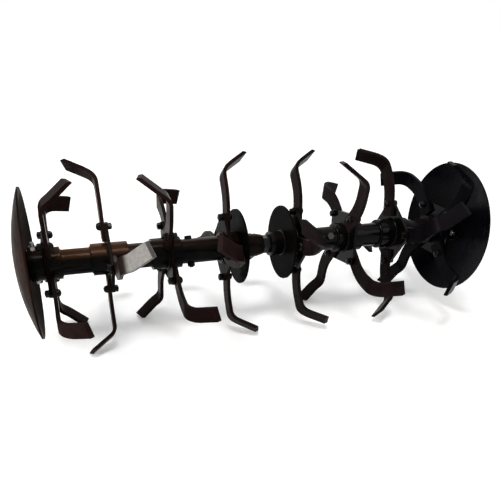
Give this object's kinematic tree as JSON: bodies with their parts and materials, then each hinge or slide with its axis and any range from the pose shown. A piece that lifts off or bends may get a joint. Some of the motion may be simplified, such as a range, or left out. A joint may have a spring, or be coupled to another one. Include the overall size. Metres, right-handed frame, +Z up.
{
  "type": "rotary tiller tine rotor",
  "caption": "Tine rotor of a rotary tiller: bolted L-shaped blades on square plates along a tube, round guards in the middle, dished discs at the ends.",
  "frame": {"origin": "middle of the rotor's axis, halfway between the two inner guard plates", "axes": "+X along the rotor's axis to the right end, +Z up as the rotor lies at rest on its blades, -Y to the viewer"},
  "size_m": [0.956, 0.3404, 0.3404],
  "materials": {
    "frame_paint": "gloss",
    "blade_paint": "semi-gloss",
    "disc_paint": "gloss",
    "bolt_zinc": "zinc plated",
    "bar_steel": "satin"
  },
  "bodies": {
    "root": {"drive_bar": "bar_steel", "left_bar_bolt": "bolt_zinc", "left_blade_1a": "blade_paint", "left_blade_1b": "blade_paint", "left_blade_1c": "blade_paint", "left_blade_1d": "blade_paint", "left_blade_2a": "blade_paint", "left_blade_2b": "blade_paint", "left_blade_2c": "blade_paint", "left_blade_2d": "blade_paint", "left_blade_3a": "blade_paint", "left_blade_3b": "blade_paint", "left_blade_3c": "blade_paint", "left_blade_3d": "blade_paint", "left_blade_4a": "blade_paint", "left_blade_4b": "blade_paint", "left_blade_4c": "blade_paint", "left_blade_4d": "blade_paint", "left_disc": "disc_paint", "left_disc_stub": "frame_paint", "left_flange": "frame_paint", "left_plate_1": "frame_paint", "left_plate_2": "frame_paint", "left_plate_3": "frame_paint", "left_plate_4": "frame_paint", "left_sleeves": "frame_paint", "left_stub_bolt": "bolt_zinc", "left_tube": "frame_paint", "right_bar_bolt": "bolt_zinc", "right_blade_1a": "blade_paint", "right_blade_1b": "blade_paint", "right_blade_1c": "blade_paint", "right_blade_1d": "blade_paint", "right_blade_2a": "blade_paint", "right_blade_2b": "blade_paint", "right_blade_2c": "blade_paint", "right_blade_2d": "blade_paint", "right_blade_3a": "blade_paint", "right_blade_3b": "blade_paint", "right_blade_3c": "blade_paint", "right_blade_3d": "blade_paint", "right_blade_4a": "blade_paint", "right_blade_4b": "blade_paint", "right_blade_4c": "blade_paint", "right_blade_4d": "blade_paint", "right_disc": "disc_paint", "right_disc_stub": "frame_paint", "right_flange": "frame_paint", "right_plate_1": "frame_paint", "right_plate_2": "frame_paint", "right_plate_3": "frame_paint", "right_plate_4": "frame_paint", "right_sleeves": "frame_paint", "right_stub_bolt": "bolt_zinc", "right_tube": "frame_paint", "spacer": "frame_paint"}
  },
  "joints": []
}
